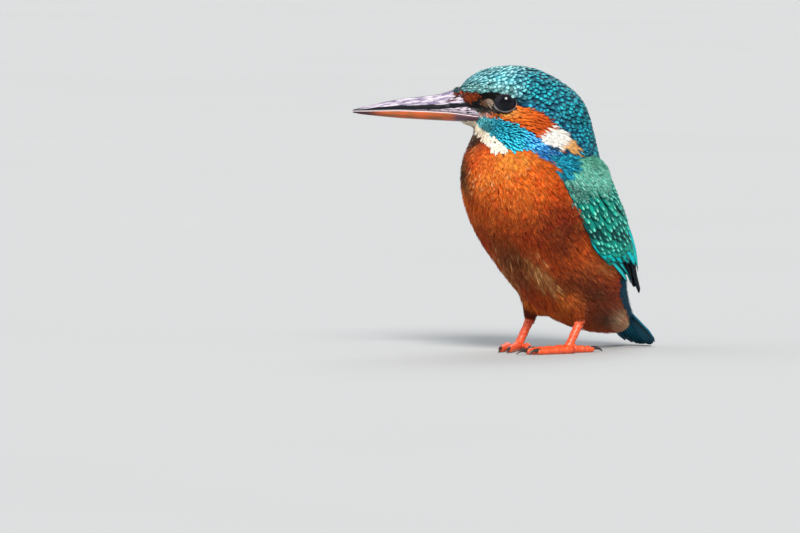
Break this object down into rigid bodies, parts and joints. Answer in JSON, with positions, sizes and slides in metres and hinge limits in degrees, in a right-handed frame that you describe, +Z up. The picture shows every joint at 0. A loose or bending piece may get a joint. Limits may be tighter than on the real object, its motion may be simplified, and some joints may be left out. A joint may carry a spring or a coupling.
{
  "type": "common kingfisher",
  "caption": "Still, life-size model of an adult female common kingfisher, standing upright with folded wings and the head turned to its right.",
  "frame": {"origin": "bottom centre of the bounding box, on the floor that the bird stands on", "axes": "+Z up, -Y the way the body faces, +X the bird's left; the head and bill point halfway between -X and -Y"},
  "size_m": [0.071, 0.0984, 0.0968],
  "materials": {
    "crown_plumage": "soft feathers with a silky sheen",
    "neck_plumage": "soft feathers with a silky sheen",
    "body_plumage": "soft matt feathers",
    "wing_plumage": "smooth vanes with a silky sheen",
    "tail_plumage": "smooth vanes with a silky sheen",
    "upper_bill_horn": "glossy horn",
    "lower_bill_horn": "glossy horn",
    "eye": "wet and glossy",
    "leg_skin": "scaled skin, satin",
    "claw_horn": "satin horn"
  },
  "bodies": {
    "root": {"head": "crown_plumage", "neck": "neck_plumage", "trunk": "body_plumage", "thigh_left": "body_plumage", "thigh_right": "body_plumage", "wing_left": "wing_plumage", "wing_right": "wing_plumage", "tail": "tail_plumage", "bill_upper": "upper_bill_horn", "bill_lower": "lower_bill_horn", "eye_left": "eye", "eye_right": "eye", "tarsus_left": "leg_skin", "tarsus_right": "leg_skin", "toe_hallux_left": "leg_skin", "toe_inner_left": "leg_skin", "toe_middle_left": "leg_skin", "toe_outer_left": "leg_skin", "toe_hallux_right": "leg_skin", "toe_inner_right": "leg_skin", "toe_middle_right": "leg_skin", "toe_outer_right": "leg_skin", "claw_hallux_left": "claw_horn", "claw_inner_left": "claw_horn", "claw_middle_left": "claw_horn", "claw_outer_left": "claw_horn", "claw_hallux_right": "claw_horn", "claw_inner_right": "claw_horn", "claw_middle_right": "claw_horn", "claw_outer_right": "claw_horn"}
  },
  "joints": []
}
